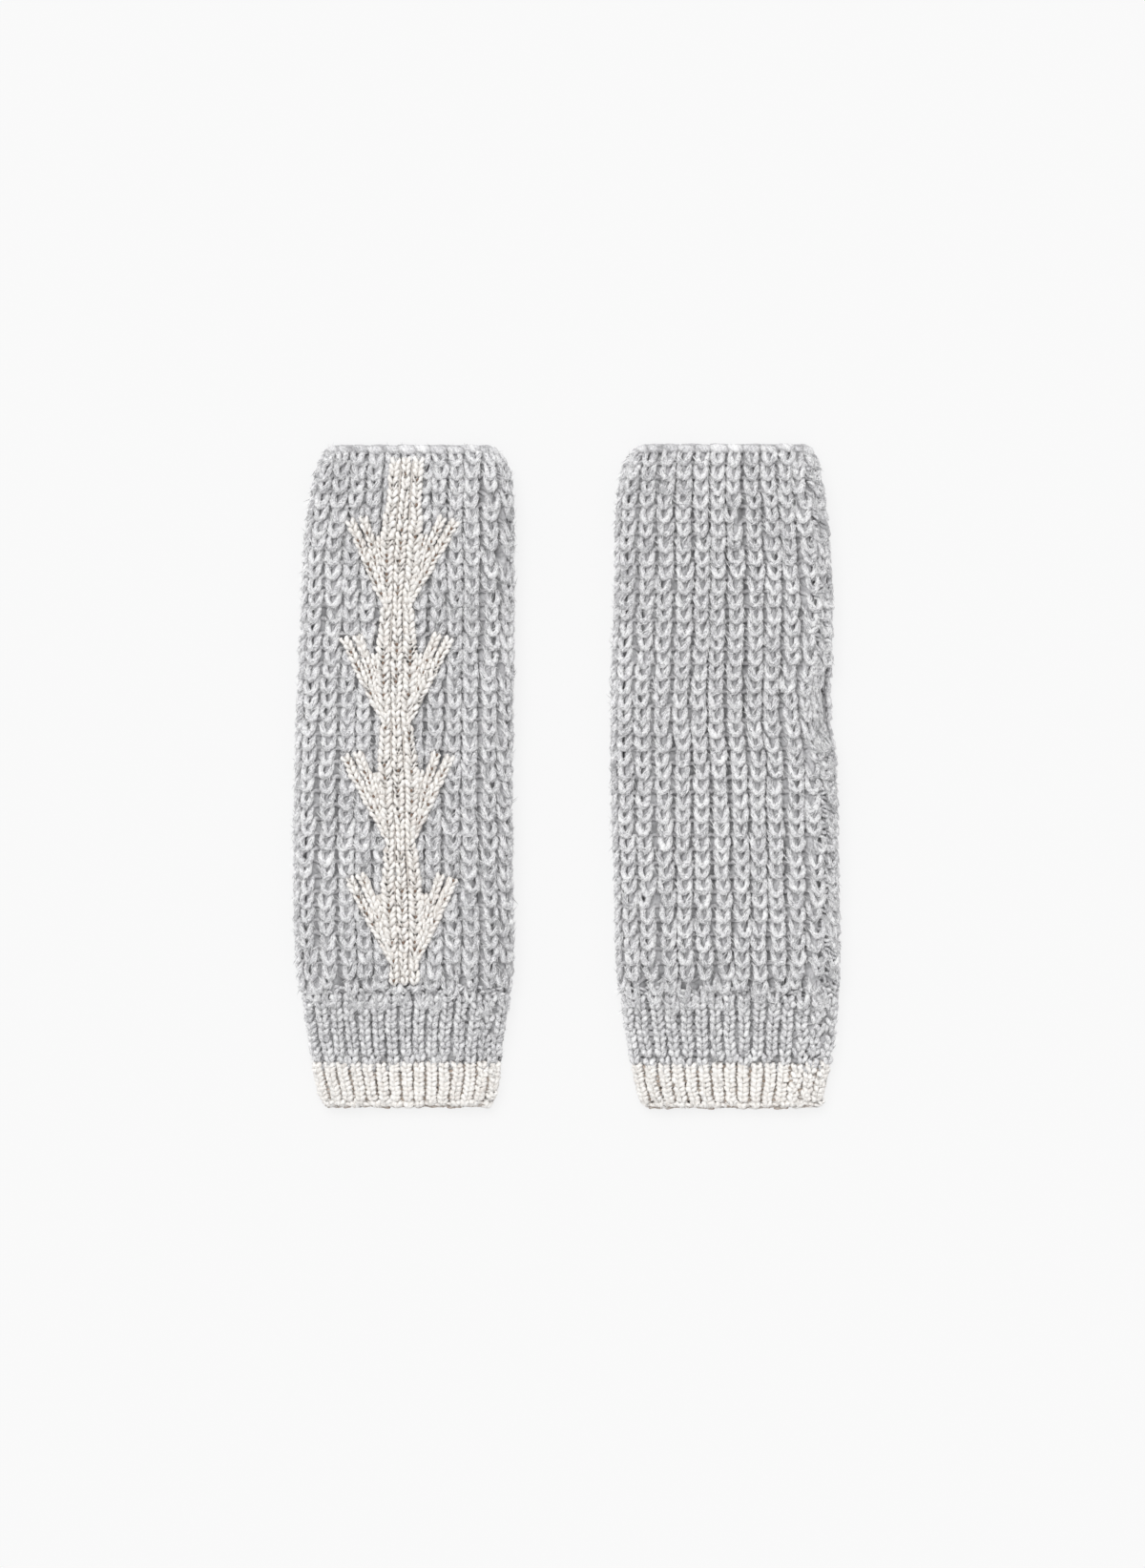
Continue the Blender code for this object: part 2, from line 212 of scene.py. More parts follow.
def stem_joined(along):
    """1 where the stem's columns close up inside an arrowhead, 0 where they stand apart."""
    below = below_tip(along)
    started = soft_step((below - JOINED_FROM) / JOINED_FADES[0])
    return float(started * soft_step((JOINED_TO - below) / JOINED_FADES[1]))


def arrow_cords():
    """Every cord of stitches in the motif, from below upwards: x, along and width in mm."""
    cords = []
    rows = np.arange(STEM_SPAN[0], STEM_SPAN[1] + 0.1, STEM_STEP)
    together = np.array([stem_joined(a) for a in rows])
    half = np.array([stem_half(a) for a in rows])
    for hand, apart, joined in STEM_COLUMNS:
        width = apart + (joined - apart) * together
        place = hand * (COLUMN_OFF - COLUMN_CLOSER * together)
        cords.append(np.stack([stem_middle(rows) + place * half, rows, width * half], 1))
    for tip in ARROW_TIPS:
        for hand in (-1, 1):
            for cord in ARROW_CORDS:
                below, off, width = (np.array(v[::-1]) for v in zip(*cord))
                fine = np.linspace(below[0], below[-1], HEAD_CORD_POINTS)
                along = tip - fine
                x = stem_middle(along) + hand * np.interp(-fine, -below, off)
                cords.append(np.stack([x, along, np.interp(-fine, -below, width)], 1))
    return cords


cream_cords = arrow_cords()


def across_of(side, along, share):
    """How far across the table points of the cloth's face lie, in mm."""
    on_face = np.zeros(np.broadcast(along, share).shape)
    return on_cloth(side, along, share, on_face)[..., 0] / MM


def calm_drop(side, along, share):
    """How far the cloth lies lower beside the arrows, on the back of the left mitten."""
    rise = along / MM
    off = abs(across_of(side, along, share) - stem_middle(rise))
    beside = 1 - soft_step((off - CALM_HALF) / CALM_FADE)
    foot = soft_step((rise - STEM_SPAN[0]) / CALM_END)
    head = soft_step((STEM_SPAN[1] - rise) / CALM_END + 1)
    return CALM_DROP * beside * foot * head * (share < 0.5)


def under_arrows(side, along, share):
    """1 where the cream cords cover the grey stitches, 0 away from them."""
    cover = np.zeros(np.broadcast(along, share).shape)
    if side == "right":
        return cover
    x, rise = across_of(side, along, share), along / MM
    near = (rise < STEM_SPAN[1] - COVER_END) & (share < 0.5)
    for cord in cream_cords:
        for (xa, ya, wa), (xb, yb, wb) in zip(cord[:-1], cord[1:]):
            length = math.hypot(xb - xa, yb - ya)
            t = np.clip(((x - xa) * (xb - xa) + (rise - ya) * (yb - ya)) / length**2, 0, 1)
            off = np.hypot(x - xa - t * (xb - xa), rise - ya - t * (yb - ya))
            covered = COVER_HALF * (wa + wb) / 2
            cover = np.maximum(cover, 1 - soft_step((off - covered) / COVER_FADE))
    return cover * near


# The cloth behind the stitches
# A thin closed wall folded round to the join, one for each length of tube. It stands for
# the backs of the stitches, so no light comes through between the ribs.

CLOTH_WALL = 1.3 * MM
JOIN_SHARE = 0.0012
PART_SPAN = {  # from the lower edge, with the 0.3 mm joins between the parts
    "band": (0.6 * MM, 17.65 * MM),
    "cuff": (17.95 * MM, 45.35 * MM),
    "body": (45.65 * MM, 266.85 * MM),
}
CLOTH_NODES = {"band": ["band"], "cuff": ["cuff"], "body": ["body", "top_edge"]}
CLOTH_DEPTH = {"band": -2.15 * MM, "cuff": -2.15 * MM, "body": -2.7 * MM}
RIBS = {"band": 30, "cuff": 30, "body": 25}  # all round
CLOTH_RIDGE = {"band": 0.45 * MM, "cuff": 0.45 * MM, "body": 1.35 * MM}  # up and down
CLOTH_STEP = 5.0 * MM
CLOTH_PER_RIB = 4  # points of the wall
CLOTH_LOWEST = 0.2 * MM
BOUND_EDGE_BACK = 1.2 * MM  # how far the wall stays inside the bound edge


def set_inputs(made, inputs):
    """Sets a node's inputs by name or by place, or links them where a socket is given."""
    for key, value in inputs.items():
        if isinstance(value, bpy.types.NodeSocket):
            made.id_data.links.new(value, made.inputs[key])
        else:
            made.inputs[key].default_value = value


def node(tree, kind, inputs=(), **settings):
    """A node with its settings and its inputs."""
    made = tree.nodes.new(kind)
    for key, value in settings.items():
        setattr(made, key, value)
    set_inputs(made, dict(inputs))
    return made


def noise(tree, inputs, **settings):
    """The strength of a cloudy noise, from 0 to 1."""
    return node(tree, "ShaderNodeTexNoise", inputs, **settings).outputs["Fac"]


def tone_ramp(tree, factor, *stops):
    """Tones of one yarn at their places from 0 to 1, from the first to the last."""
    made = node(tree, "ShaderNodeValToRGB", {"Fac": factor})
    ramp = made.color_ramp.elements
    for end, (place, tone) in ((ramp[0], stops[0]), (ramp[1], stops[-1])):
        end.position = place
        end.color = (*tone, 1.0)
    for place, tone in stops[1:-1]:
        ramp.new(place).color = (*tone, 1.0)
    return made.outputs["Color"]


def new_material(name):
    """A material and the shader at its end."""
    material = bpy.data.materials.new(name)
    material.use_nodes = True
    return material, material.node_tree.nodes["Principled BSDF"]


def wool_backing(name, light, dark, groove, painted_hollow, hollow_scale):
    """Matte knitted backing: a soft mottle of two tones of the same wool, darker in the
    grooves between the ribs, which have darker hollows in them. The groove tone and its
    hollows are painted shade."""
    material, shader = new_material(name)
    tree = material.node_tree
    place = node(tree, "ShaderNodeTexCoord").outputs["Object"]
    mottle = noise(tree, {"Vector": place, "Scale": 900.0, "Detail": 4.0})
    hollows = noise(tree, {"Vector": place, "Scale": hollow_scale})
    ridge_tone = tone_ramp(tree, mottle, (0.35, dark), (0.65, light))
    groove_shade = tone_ramp(tree, hollows, (0.42, painted_hollow), (0.58, groove))
    # painted shade: the grooves between the ribs take the groove tone with its dark hollows
    sunk = node(tree, "ShaderNodeAttribute", attribute_name="groove").outputs["Fac"]
    # sockets of a colour mix share their names, so they are set by place
    toned = node(tree, "ShaderNodeMix", {0: sunk, 6: ridge_tone, 7: groove_shade}, data_type="RGBA")
    bump = node(tree, "ShaderNodeBump", {"Height": mottle, "Distance": 0.0006})
    look = {"Base Color": toned.outputs[2], "Normal": bump.outputs["Normal"]}
    set_inputs(shader, look | {"Roughness": 0.95, "Specular IOR Level": 0.1})
    return material


grey_backing = wool_backing(
    "grey wool backing",
    light=(0.66, 0.655, 0.67),
    dark=(0.38, 0.38, 0.39),
    groove=(0.56, 0.56, 0.57),
    painted_hollow=(0.24, 0.24, 0.245),
    hollow_scale=190.0,
)
# Painted shade: the band's backing is brown for the shaded backs of the cream stitches, with darker
# painted hollows
shaded_cream_backing = wool_backing(
    "cream backing in painted shade",
    light=(0.62, 0.53, 0.46),
    dark=(0.38, 0.30, 0.25),
    groove=(0.80, 0.71, 0.63),
    painted_hollow=(0.52, 0.42, 0.35),
    hollow_scale=420.0,
)


def in_scene(name, data):
    """An object of that name in the scene, in place."""
    made = bpy.data.objects.new(name, data)
    bpy.context.scene.collection.objects.link(made)
    return made


def plain_mesh(name, points, faces, material):
    """A named object from points and faces, in place, with its material."""
    mesh = bpy.data.meshes.new(name)
    mesh.from_pydata([tuple(p) for p in points], [], faces)
    mesh.materials.append(material)
    mesh.shade_smooth()
    return in_scene(name, mesh)


def cloth_span(side, part):
    """Where one length of cloth starts and ends; the body's runs on into its bound edge."""
    start, end = PART_SPAN[part]
    return start, (lies[side]["length"] - BOUND_EDGE_BACK if part == "body" else end)


def cloth_wall(side, part):
    """The wall of one length of tube, open at the join and at both ends."""
    start, end = cloth_span(side, part)
    rows = max(3, int((end - start) / CLOTH_STEP) + 1)
    along = np.linspace(start, end, rows)[:, None]
    round_count = RIBS[part] * CLOTH_PER_RIB + 1
    share = np.linspace(0, 1, round_count)[None, :]
    groove = 0.5 + 0.5 * np.cos(2 * math.pi * RIBS[part] * share)
    share = np.clip(share, JOIN_SHARE, 1 - JOIN_SHARE)
    along, share, groove = np.broadcast_arrays(along, share, groove)
    level = CLOTH_DEPTH[part] - calm_drop(side, along, share)
    ridge = CLOTH_RIDGE[part] * (1 - 2 * groove)
    outer = on_cloth(side, along, share, level + ridge)
    inner = on_cloth(side, along, share, level - CLOTH_WALL)
    outer[..., 2] = np.maximum(outer[..., 2], CLOTH_LOWEST)
    ring = np.concatenate([outer, inner[:, ::-1]], 1)
    count = ring.shape[1]
    faces = []
    for i in range(rows - 1):
        for j in range(count):
            k = (j + 1) % count
            a, b = i * count, (i + 1) * count
            faces.append((a + j, b + j, b + k, a + k))
    for i, turned in ((0, False), (rows - 1, True)):
        for j in range(round_count - 1):
            a, b = i * count + j, i * count + j + 1
            c, d = i * count + count - 2 - j, i * count + count - 1 - j
            faces.append((d, c, b, a) if turned else (a, b, c, d))
    # under the band the wall takes brown painted shade, for the shaded backs of the cream stitches
    material = shaded_cream_backing if part == "band" else grey_backing
    wall = plain_mesh(f"{side}_{part}_cloth", ring.reshape(-1, 3), faces, material)
    # the groove mask, where the backing takes its painted shade
    sunk = wall.data.attributes.new("groove", "FLOAT", "POINT")
    both = np.concatenate([groove, groove[:, ::-1]], 1)
    sunk.data.foreach_set("value", both.astype(np.float32).ravel())
    return wall


for side in SIDES:
    for part in PART_SPAN:
        cloth = cloth_wall(side, part)
        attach(cloth, "root")
        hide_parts(*[f"{side}_{each}" for each in CLOTH_NODES[part]])

# The broad rib of the body
# Half-cardigan rib in thick grey melange wool. The yarn runs round the mitten course by
# course: on each rib it makes a plump cup, open to the fingers, and it dives into the
# groove on its way to the next rib.

BODY_COURSES = 38
BODY_RIBS_ON_TOP = 14  # counted from the join; the rest lie underneath
GREY_TWIST = 900.0  # how fast the fibres turn round the yarn, in radians a metre
COURSE_LIFT = 0.2  # in courses
COURSE_OVERHANG = 2.2 * MM
COVERED_DROP = 1.6 * MM  # of the grey yarn under the cream cords
YARN_LOWEST = 0.1 * MM
RIGHT_SEED = 30  # added to a seed on the right mitten

# One stitch of a rib, to its middle: across in ribs, along in courses, depth under the
# cloth's face and the yarn's radius in millimetres.
BODY_STITCH = (
    (-0.50, 1.11, 2.90, 1.00),
    (-0.375, 1.18, 2.45, 0.98),
    (-0.255, 1.06, 1.85, 1.02),
    (-0.292, 0.79, 1.20, 1.12),
    (-0.250, 0.45, 0.90, 1.25),
    (-0.150, 0.15, 0.75, 1.40),
    (0.00, 0.04, 0.78, 1.36),
)

# How the stitches differ: by their own stray (in width, along, depth and radius), and from
# point to point of the yarn (across in ribs, depth in millimetres and radius as a share).
STITCH_STRAY = (0.5, 1.3, 1.5, 0.6)
WIDTH_STRAY = 0.07
YARN_STRAY = (0.012, 0.09, 0.09)
PLAIN_SLANT = 0.05
EARLY_STRAY = 0.15  # more in the first courses
SWAY_TURN = 2.2  # of a rib's longest wave from end to end, in radians
STITCH_INSIDE, INSIDE_FADE = 0.3, 0.2  # the part of a stitch that strays, off its middle
CALM_GIRTH, CALM_SHADE = 0.08, 0.3  # plumper stitches beside the arrows, lighter there with less painted shade

BODY_KNIT = {
    "stitch": BODY_STITCH,
    "courses": BODY_COURSES,
    "first_course": -1,
    # name, first and last rib, steps between two rows of a stitch, sides of the yarn
    "layers": (
        ("knit", 0, BODY_RIBS_ON_TOP, 1.5, 6),
        ("underside", BODY_RIBS_ON_TOP, RIBS["body"], 0.8, 5),
    ),
    "seed": 11,
    "uneven": 0.05,
    "sway": 0.035,  # in ribs
    "tone": 0.0,
    "seam_drop": 0.4,  # of the rib beside the right mitten's join, in mm
    "end_drops": {-1: 0.30, 0: 0.15},  # courses that lie lower, in mm
    # how deep the yarn reads for its painted shade, as a share of its depth
    "painted_shade_depth": 1.0,
}
SEAM_UNEVEN = {  # from the join inwards, rib by rib: how far its stitches stray and slant
    "left": ((0.13, 0.3), (0.09, 0.12)),
    "right": ((0.16, 0.6), (0.11, 0.3), (0.07, 0.12)),
}


def worked(tree, operation, *values):
    """A number worked out from sockets and numbers."""
    return node(tree, "ShaderNodeMath", enumerate(values), operation=operation).outputs[0]


def vector_worked(tree, operation, inputs):
    """A vector worked out from sockets and numbers."""
    return node(tree, "ShaderNodeVectorMath", inputs, operation=operation).outputs[0]


def read(tree, key, data_type="FLOAT"):
    """What the points carry under a name."""
    kind = "GeometryNodeInputNamedAttribute"
    return node(tree, kind, {"Name": key}, data_type=data_type).outputs["Attribute"]


def stored(tree, geometry, key, value, data_type="FLOAT_VECTOR", domain="POINT"):
    """The geometry with a value stored on it under a name."""
    kind = "GeometryNodeStoreNamedAttribute"
    inputs = {"Geometry": geometry, "Name": key, "Value": value}
    return node(tree, kind, inputs, data_type=data_type, domain=domain).outputs["Geometry"]


def finished(tree, geometry, material):
    """The geometry with its instances realized and its material set."""
    whole = node(tree, "GeometryNodeRealizeInstances", {"Geometry": geometry}).outputs["Geometry"]
    inputs = {"Geometry": whole, "Material": material}
    return node(tree, "GeometryNodeSetMaterial", inputs).outputs["Geometry"]


def tree_with(name, inputs, output):
    """An empty geometry tree with named inputs and one named output."""
    tree = bpy.data.node_groups.new(name, "GeometryNodeTree")
    for key, kind in inputs.items():
        tree.interface.new_socket(key, in_out="INPUT", socket_type=f"NodeSocket{kind}")
    tree.interface.new_socket(output, in_out="OUTPUT", socket_type="NodeSocketGeometry")
    return tree


def yarn_tree():
    """Sweeps a round yarn along chains of points, with its tone, depth and run kept."""
    inputs = {"Path": "Geometry", "Sides": "Int", "Ply Depth": "Float", "Plies": "Float"}
    inputs |= {"Twist": "Float", "Yarn": "Material"}
    tree = tree_with("yarn along its path", inputs, "Knit")
    given = node(tree, "NodeGroupInput").outputs
    turn = worked(tree, "MULTIPLY", read(tree, "run"), given["Twist"])
    curve = node(tree, "GeometryNodeMeshToCurve", {"Mesh": given["Path"]}).outputs["Curve"]
    curve = node(tree, "GeometryNodeSetCurveTilt", {"Curve": curve, "Tilt": turn}).outputs["Curve"]
    heading = node(tree, "GeometryNodeInputTangent").outputs["Tangent"]
    curve = stored(tree, curve, "heading", heading)
    circle = {"Resolution": given["Sides"], "Radius": 1.0}
    ring = node(tree, "GeometryNodeCurvePrimitiveCircle", circle).outputs["Curve"]
    spot = node(tree, "GeometryNodeInputPosition").outputs["Position"]
    ring = stored(tree, ring, "ring", spot)
    # the ring swells into as many lobes as the yarn has plies
    angle = node(tree, "GeometryNodeSplineParameter").outputs["Factor"]
    wave = worked(tree, "MULTIPLY", worked(tree, "MULTIPLY", angle, given["Plies"]), 2 * math.pi)
    lobe = worked(tree, "COSINE", wave)
    size = worked(tree, "MULTIPLY_ADD", lobe, given["Ply Depth"], 1.0)
    grown = vector_worked(tree, "SCALE", {0: spot, "Scale": size})
    ring = node(tree, "GeometryNodeSetPosition", {"Geometry": ring, "Position": grown})
    knit = node(
        tree,
        "GeometryNodeCurveToMesh",
        {
            "Curve": curve,
            "Profile Curve": ring.outputs["Geometry"],
            "Scale": read(tree, "girth"),
            "Fill Caps": True,
        },
    ).outputs["Mesh"]
    knit = node(tree, "GeometryNodeSetShadeSmooth", {"Geometry": knit}).outputs["Geometry"]
    node(tree, "NodeGroupOutput", {"Knit": finished(tree, knit, given["Yarn"])})
    return tree


yarn_along_path = yarn_tree()


def yarn_look(yarn, sides, twist, plies=0.0, ply_depth=0.0):
    """What the yarn tree is given for one kind of yarn."""
    return {"Yarn": yarn, "Sides": sides, "Twist": twist, "Plies": plies, "Ply Depth": ply_depth}


def baked_piece(guide, tree, inputs, name):
    """What a geometry tree makes from a guide object, as a plain mesh on the table."""
    modifier = guide.modifiers.new("made by nodes", "NODES")
    modifier.node_group = tree
    sockets = {s.name: s.identifier for s in tree.interface.items_tree if s.in_out == "INPUT"}
    for key, value in inputs.items():
        modifier[sockets[key]] = value
    bpy.context.view_layer.update()
    seen = guide.evaluated_get(bpy.context.evaluated_depsgraph_get())
    mesh = bpy.data.meshes.new_from_object(seen)
    guide.modifiers.remove(modifier)
    bpy.data.objects.remove(guide)
    mesh.name = name
    # the table presses the lowest loops flat
    spots = np.zeros(len(mesh.vertices) * 3, np.float32)
    mesh.vertices.foreach_get("co", spots)
    spots[2::3] = np.maximum(spots[2::3], YARN_LOWEST)
    mesh.vertices.foreach_set("co", spots)
    return in_scene(name, mesh)


def laid_yarn(name, strands, look):
    """Yarn along strands, each given as its points, then its radius, depth and tone; the depth is
    what its painted shade is read from.
    """
    counts = [len(strand[0]) for strand in strands]
    firsts = np.concatenate(([0], np.cumsum(counts)[:-1]))
    edges = np.concatenate(
        [np.stack([np.arange(n - 1), np.arange(1, n)], 1) + f for n, f in zip(counts, firsts)]
    )
    mesh = bpy.data.meshes.new(name + "_path")
    mesh.vertices.add(sum(counts))
    points = np.concatenate([strand[0] for strand in strands])
    mesh.vertices.foreach_set("co", points.astype(np.float32).ravel())
    mesh.edges.add(len(edges))
    mesh.edges.foreach_set("vertices", edges.astype(np.int32).ravel())
    kept = {}
    for column, (key, unit) in enumerate((("girth", 1.0), ("depth", MM), ("tone", 1.0)), 1):
        rows = [np.broadcast_to(strand[column], n) for strand, n in zip(strands, counts)]
        kept[key] = np.concatenate(rows) / unit
    runs = []
    for number, strand in enumerate(strands):
        steps = np.linalg.norm(np.diff(strand[0], axis=0), axis=1)
        # an uneven start for each strand, so no two show the same fibres
        start = number * 0.3719 + 1.3 * math.sin(number * 12.9898)
        runs.append(start + np.concatenate(([0.0], np.cumsum(steps))))
    kept["run"] = np.concatenate(runs)
    for key, values in kept.items():
        attribute = mesh.attributes.new(key, "FLOAT", "POINT")
        attribute.data.foreach_set("value", values.astype(np.float32))
    return baked_piece(in_scene(name + "_path", mesh), yarn_along_path, look, name)


def through(points, steps):
    """A smooth curve through the rows of an array, with so many steps between two."""
    ends = np.concatenate([2 * points[:1] - points[1:2], points, 2 * points[-1:] - points[-2:-1]])
    spots = np.linspace(0, len(points) - 1, int(round((len(points) - 1) * steps)) + 1)
    at = np.minimum(spots.astype(int), len(points) - 2)
    t = (spots - at)[:, None]
    a, b, c, d = (ends[at + k] for k in range(4))
    return 0.5 * (
        2 * b + (c - a) * t + (2 * a - 5 * b + 4 * c - d) * t**2 + (3 * b - a - 3 * c + d) * t**3
    )


def whole_stitch(half):
    """A stitch's rows from groove to groove, from its first half."""
    other = [(-across, along, depth, radius) for across, along, depth, radius in half[-2:0:-1]]
    return np.array(list(half) + other)


def rib_courses(side, part, rule, first, last, steps, seed):
    """The yarn of each course over some of a part's ribs, as strands."""
    draw = np.random.default_rng(seed)
    start, end = PART_SPAN[part]
    ribs, courses, uneven = RIBS[part], rule["courses"], rule["uneven"]
    pitch = (end - start) / courses
    rows = whole_stitch(rule["stitch"])
    inside = 1.0 - soft_step((abs(rows[:, 0]) - STITCH_INSIDE) / INSIDE_FADE)
    strands = []
    numbers = np.arange(first, last)
    wander = draw.normal(0, 1, (4, ribs))
    stray = np.full(len(numbers), uneven)
    slant = np.full(len(numbers), PLAIN_SLANT)
    if first == 0:
        for rib, (much, turned) in enumerate(SEAM_UNEVEN[side]):
            stray[rib], slant[rib] = max(much, uneven), turned
    for course in range(rule["first_course"], courses):
        early = EARLY_STRAY if course < 1 else 0
        shift = draw.normal(0, 1, (3, len(numbers))) * (stray + early)
        leaning = draw.normal(0, 1, len(numbers)) * slant
        tones = draw.normal(rule["tone"], 1, len(numbers))
        end_drop = rule["end_drops"].get(course, 0.0)
        stitches = []
        for k, rib in enumerate(numbers):
            turn = SWAY_TURN * course / courses
            sway = rule["sway"] * sum(
                wander[m, rib] * math.sin((m + 1) * turn + wander[m - 1, rib]) for m in range(3)
            )
            wider = (shift[2, k] * STITCH_STRAY[0] + draw.normal(0, WIDTH_STRAY)) * inside
            across = rib + 0.5 + rows[:, 0] * (1 + wider) + (sway + shift[0, k]) * inside
            off = shift[1, k] * STITCH_STRAY[1] + leaning[k] * rows[:, 0]
            along = course + rows[:, 1] + off * inside
            seam_drop = rule["seam_drop"] if side == "right" and rib == 0 else 0.0
            drop = seam_drop + (shift[2, k] * STITCH_STRAY[2] + end_drop) * inside
            girth = rows[:, 3] * (1 + shift[2, k] * STITCH_STRAY[3])
            tone = np.full(len(rows), tones[k])
            stitches.append(np.stack([across, along, rows[:, 2] + drop, girth, tone], 1))
        path = through(np.concatenate(stitches), steps)
        path[:, 3] *= 1 + draw.normal(0, YARN_STRAY[2], len(path))
        path[:, 2] += draw.normal(0, YARN_STRAY[1], len(path))
        path[:, 0] += draw.normal(0, YARN_STRAY[0], len(path))
        share, along, depth, girth, tone = path.T
        share = share / ribs
        along = start + (along + COURSE_LIFT) * pitch
        along = np.clip(along, start * 0.5, end + COURSE_OVERHANG)
        covered = COVERED_DROP * under_arrows(side, along, share)
        calm = calm_drop(side, along, share)
        plump = calm / CALM_DROP
        shown = rule["painted_shade_depth"] * (1 - CALM_SHADE * plump)
        place = on_cloth(side, along, share, -depth * MM - calm - covered)
        girth = girth * (1 + CALM_GIRTH * plump) * MM
        # the third is the depth the painted shade is read from: less deep beside the arrows, deeper
        # under the cords
        strands.append((place, girth, -depth * shown * MM - covered, tone))
    return strands


def rib_layers(side, part, rule):
    """The upper and the under layer of a part's ribs: name, sides of the yarn and strands."""
    for number, (layer, first, last, steps, sides) in enumerate(rule["layers"]):
        seed = rule["seed"] + number + (RIGHT_SEED if side == "right" else 0)
        yield layer, sides, rib_courses(side, part, rule, first, last, steps, seed)


def wool(name, dark, mid, light, shadow, shadow_span, fibre_scale, bleeding, sheen, contrast):
    """Yarn whose fibres run along it in several tones, with painted shade where it dives: the
    deeper, the more of the shadow tone.
    """
    material, shader = new_material(name)
    tree = material.node_tree

    def kept(key, output="Fac"):
        return node(tree, "ShaderNodeAttribute", attribute_name=key).outputs[output]

    ring = node(tree, "ShaderNodeSeparateXYZ", {"Vector": kept("ring", "Vector")}).outputs
    along = worked(tree, "MULTIPLY", kept("run"), fibre_scale)
    fibres = node(tree, "ShaderNodeCombineXYZ", {"X": ring["X"], "Y": ring["Y"], "Z": along})
    fibres = fibres.outputs[0]
    streak = noise(tree, {"Vector": fibres, "Scale": 1.7, "Detail": 3.0, "Roughness": 0.7})
    slow = worked(tree, "MULTIPLY", kept("run"), 95.0)
    melange = noise(tree, {"W": slow, "Scale": 1.0, "Detail": 3.0}, noise_dimensions="1D")
    spot = node(tree, "ShaderNodeTexCoord").outputs["Object"]
    fuzz = noise(tree, {"Vector": spot, "Scale": 1300.0, "Detail": 1.0})
    cloud = noise(tree, {"Vector": spot, "Scale": 22.0, "Detail": 1.0})
    tone = worked(tree, "MULTIPLY_ADD", kept("tone"), 0.045, 0.5)
    for pattern, swing in ((melange, 0.9), (fuzz, 1.1), (cloud, 0.4), (streak, contrast)):
        tone = worked(tree, "ADD", tone, worked(tree, "MULTIPLY_ADD", pattern, swing, -swing / 2))
    tones = tone_ramp(tree, tone, (0.12, dark), (0.5, mid), (0.88, light))
    # painted shade: the deeper the depth the yarn carries, the more it takes of the shadow tone
    dive = {"Value": kept("depth"), "From Min": shadow_span[0], "From Max": shadow_span[1]}
    dive |= {"To Min": 1.0, "To Max": 0.0}
    deep = node(tree, "ShaderNodeMapRange", dive).outputs["Result"]
    # sockets of a colour mix share their names, so they are set by place
    mix = {0: deep, 6: tones, 7: (*shadow, 1.0)}
    toned = node(tree, "ShaderNodeMix", mix, data_type="RGBA")
    bump = node(tree, "ShaderNodeBump", {"Height": streak, "Distance": 0.0004, "Strength": 0.8})
    look = {
        "Base Color": toned.outputs[2],
        "Normal": bump.outputs["Normal"],
        "Roughness": 0.9,
        "Specular IOR Level": 0.2,
        "Subsurface Weight": bleeding,
        "Subsurface Radius": (1.0, 1.0, 1.0),
        "Subsurface Scale": 0.0022,
        "Sheen Weight": sheen,
        "Sheen Roughness": 0.5,
    }
    set_inputs(shader, look)
    return material


grey_wool = wool(
    "grey melange wool",
    dark=(0.38, 0.38, 0.39),
    mid=(0.72, 0.715, 0.73),
    light=(0.96, 0.96, 0.96),
    shadow=(0.40, 0.395, 0.405),
    shadow_span=(-2.9, -1.0),
    fibre_scale=240.0,
    bleeding=0.5,
    sheen=0.15,
    contrast=1.6,
)

SIDE_LOOP = (0.74, 0.55, 1.05)  # its middle in courses, its depth and its radius in mm
SIDE_LOOP_SEED = 71
SIDE_SHARES = {"left": (0.002, 0.5), "right": (0.5,)}  # of the way round
ARC = np.linspace(-0.5, 0.5, 5)  # the points of a short strand, from end to end


def side_loops(side, share):
    """Loops that close up, edge-on, where the cloth turns, so the outline runs straight."""
    draw = np.random.default_rng(SIDE_LOOP_SEED)
    start, end = PART_SPAN["body"]
    pitch = (end - start) / BODY_COURSES
    middle, depth, radius = SIDE_LOOP
    strands = []
    for course in range(BODY_COURSES):
        stray = draw.normal(0, 1, 4)
        rise = start + (course + middle + 0.05 * stray[0] + ARC) * pitch
        turned = np.clip(share + 0.003 * stray[1] + 0.008 * stray[2] * ARC, 0.001, 0.999)
        deep = (depth + 2.0 * ARC**2) * MM
        place = on_cloth(side, rise, turned, -deep)
        strands.append((place, radius * (1 - 1.1 * ARC**2) * MM, -deep, stray[3]))
    return strands


knits = {(side, part): [] for side in SIDES for part in PART_SPAN}
for side in SIDES:
    for layer, sides, strands in rib_layers(side, "body", BODY_KNIT):
        if layer == "knit":
            for share in SIDE_SHARES[side]:
                strands += side_loops(side, share)
        look = yarn_look(grey_wool, sides, GREY_TWIST)
        piece = laid_yarn(f"{side}_body_{layer}", strands, look)
        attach(piece, "root")
        knits[side, "body"].append(piece)

# The fine rib of the cuff and the band
# The same yarn on a closer gauge makes the grey cuff, and a smooth plied cream yarn the
# band at its edge, on the same ribs. Each stitch is a small V whose legs lean apart.

